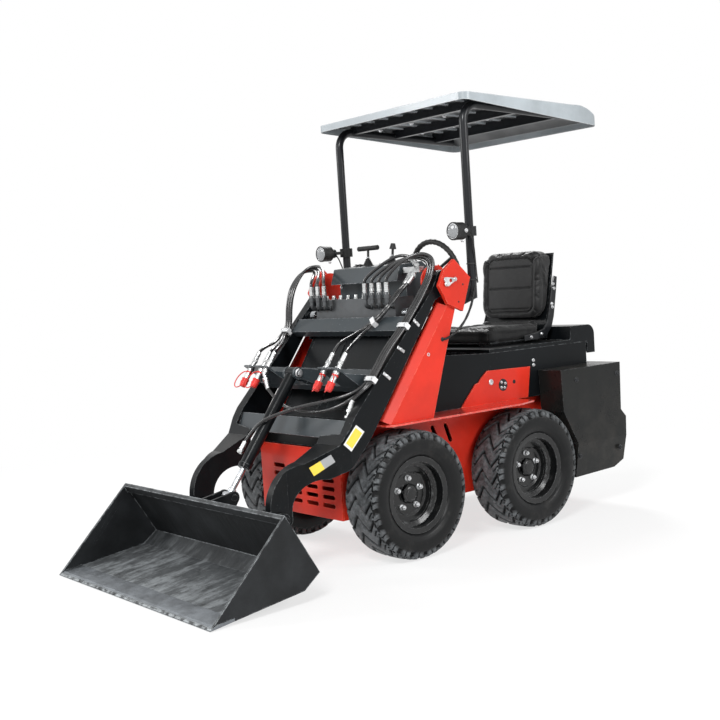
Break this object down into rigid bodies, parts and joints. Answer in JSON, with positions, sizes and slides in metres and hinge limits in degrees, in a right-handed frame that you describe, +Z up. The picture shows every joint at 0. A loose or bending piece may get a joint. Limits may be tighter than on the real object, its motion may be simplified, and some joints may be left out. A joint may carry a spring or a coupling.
{
  "type": "skid steer loader",
  "caption": "Compact ride-on skid steer loader with a seat, steering wheel, canopy, raised boom arms and a front bucket, its hydraulic cylinders and wheels jointed.",
  "frame": {"origin": "on the ground, on the centre plane, in the middle of the overall length from the bucket's lip to the counterweight", "axes": "+Z up, -Y forwards towards the bucket, +X to the machine's left"},
  "size_m": [1.313, 2.687, 2.0779],
  "materials": {
    "red_paint": "gloss",
    "black_paint": "satin",
    "grey_paint": "gloss",
    "rim_paint": "satin",
    "tyre": "matte",
    "machined_steel": "brushed",
    "chrome": "polished",
    "cast_iron": "cast",
    "black_plastic": "matte",
    "roof_plastic": "matte",
    "vinyl": "satin",
    "cast_aluminium": "cast",
    "hose_rubber": "satin",
    "plated_steel": "plated",
    "clamp_plastic": "matte",
    "cap_plastic": "satin",
    "worn_steel": "scratched"
  },
  "bodies": {
    "chassis": {"chassis_tub": "red_paint", "front_grille": "red_paint", "uprights": "red_paint", "fenders": "red_paint", "head_plates": "red_paint", "pivot_pins": "machined_steel", "port_plates": "red_paint", "front_cowl": "black_paint", "console": "black_plastic", "control_valve": "cast_iron", "steering_column": "black_paint", "control_levers": "black_plastic", "canopy_frame": "black_paint", "canopy_roof": "roof_plastic", "work_lamps": "black_plastic", "hose_tee": "plated_steel", "supply_hose": "hose_rubber", "body_panels": "black_paint", "engine_block": "cast_aluminium", "counterweight": "grey_paint", "drive_motors": "cast_iron"},
    "wheel_front_left": {"tyre_front_left": "tyre", "rim_front_left": "rim_paint"},
    "wheel_front_right": {"tyre_front_right": "tyre", "rim_front_right": "rim_paint"},
    "wheel_rear_left": {"tyre_rear_left": "tyre", "rim_rear_left": "rim_paint"},
    "wheel_rear_right": {"tyre_rear_right": "tyre", "rim_rear_right": "rim_paint"},
    "boom": {"boom_arms": "black_paint", "boom_crossmembers": "black_paint", "boom_hoses": "hose_rubber", "hose_clamps": "clamp_plastic", "quick_couplers": "plated_steel", "dust_caps": "cap_plastic"},
    "bucket": {"bucket": "black_paint", "cutting_edge": "worn_steel", "attach_plate": "black_paint"},
    "tilt_barrel": {"tilt_barrel": "black_paint"},
    "tilt_rod": {"tilt_rod": "chrome"},
    "lift_barrel_left": {"lift_barrel_left": "black_paint"},
    "lift_barrel_right": {"lift_barrel_right": "black_paint"},
    "lift_rod_left": {"lift_rod_left": "chrome"},
    "lift_rod_right": {"lift_rod_right": "chrome"},
    "steering_wheel": {"steering_wheel": "black_plastic"},
    "seat_platform": {"engine_hood": "black_paint", "seat_frame": "black_paint", "seat_cushion": "vinyl", "seat_back": "vinyl"}
  },
  "joints": [
    {"name": "boom_lift", "type": "hinge", "parent": "chassis", "child": "boom", "pos_m": [0, 0.1235, 1.229], "axis": [-1, 0, 0], "range_deg": [0, 70], "deforming": ["boom_hoses"]},
    {"name": "bucket_tilt", "type": "hinge", "parent": "boom", "child": "bucket", "pos_m": [0, -0.7665, 0.27], "axis": [1, 0, 0], "range_deg": [-28, 45]},
    {"name": "lift_pivot_left", "type": "hinge", "parent": "chassis", "child": "lift_barrel_left", "pos_m": [0.35, -0.0185, 0.66], "axis": [1, 0, 0], "range_deg": [0, 3.58]},
    {"name": "lift_stroke_left", "type": "slide", "parent": "lift_barrel_left", "child": "lift_rod_left", "axis": [0, 0.0161, 0.9999], "range_m": [0, 0.2161]},
    {"name": "lift_pivot_right", "type": "hinge", "parent": "chassis", "child": "lift_barrel_right", "pos_m": [-0.35, -0.0185, 0.66], "axis": [1, 0, 0], "range_deg": [0, 3.58]},
    {"name": "lift_stroke_right", "type": "slide", "parent": "lift_barrel_right", "child": "lift_rod_right", "axis": [0, 0.0161, 0.9999], "range_m": [0, 0.2161]},
    {"name": "tilt_pivot", "type": "hinge", "parent": "boom", "child": "tilt_barrel", "pos_m": [0, -0.4255, 0.853], "axis": [1, 0, 0], "range_deg": [-0.78, 0.49]},
    {"name": "tilt_stroke", "type": "slide", "parent": "tilt_barrel", "child": "tilt_rod", "axis": [0, -0.6099, -0.7924], "range_m": [-0.04233, 0.0679]},
    {"name": "wheel_spin_front_left", "type": "hinge", "parent": "chassis", "child": "wheel_front_left", "pos_m": [0.4195, -0.1455, 0.29], "axis": [1, 0, 0], "continuous": true},
    {"name": "wheel_spin_front_right", "type": "hinge", "parent": "chassis", "child": "wheel_front_right", "pos_m": [-0.4195, -0.1455, 0.29], "axis": [1, 0, 0], "continuous": true},
    {"name": "wheel_spin_rear_left", "type": "hinge", "parent": "chassis", "child": "wheel_rear_left", "pos_m": [0.4195, 0.6325, 0.29], "axis": [1, 0, 0], "continuous": true},
    {"name": "wheel_spin_rear_right", "type": "hinge", "parent": "chassis", "child": "wheel_rear_right", "pos_m": [-0.4195, 0.6325, 0.29], "axis": [1, 0, 0], "continuous": true},
    {"name": "steering", "type": "hinge", "parent": "chassis", "child": "steering_wheel", "pos_m": [0, 0.5055, 1.264], "axis": [0, 0.9848, 0.1736], "range_deg": [-360, 360]},
    {"name": "platform_tilt", "type": "hinge", "parent": "chassis", "child": "seat_platform", "pos_m": [0, 1.2555, 0.812], "axis": [-1, 0, 0], "range_deg": [0, 50]}
  ],
  "couplings": [
    {"joint": "lift_pivot_left", "follows": "boom_lift", "ratio": 0.051034},
    {"joint": "lift_stroke_left", "follows": "boom_lift", "m_per_rad": 0.17653},
    {"joint": "lift_pivot_right", "follows": "boom_lift", "ratio": 0.051034},
    {"joint": "lift_stroke_right", "follows": "boom_lift", "m_per_rad": 0.17653},
    {"joint": "tilt_pivot", "follows": "bucket_tilt", "ratio": -0.017315},
    {"joint": "tilt_stroke", "follows": "bucket_tilt", "m_per_rad": 0.086175}
  ]
}
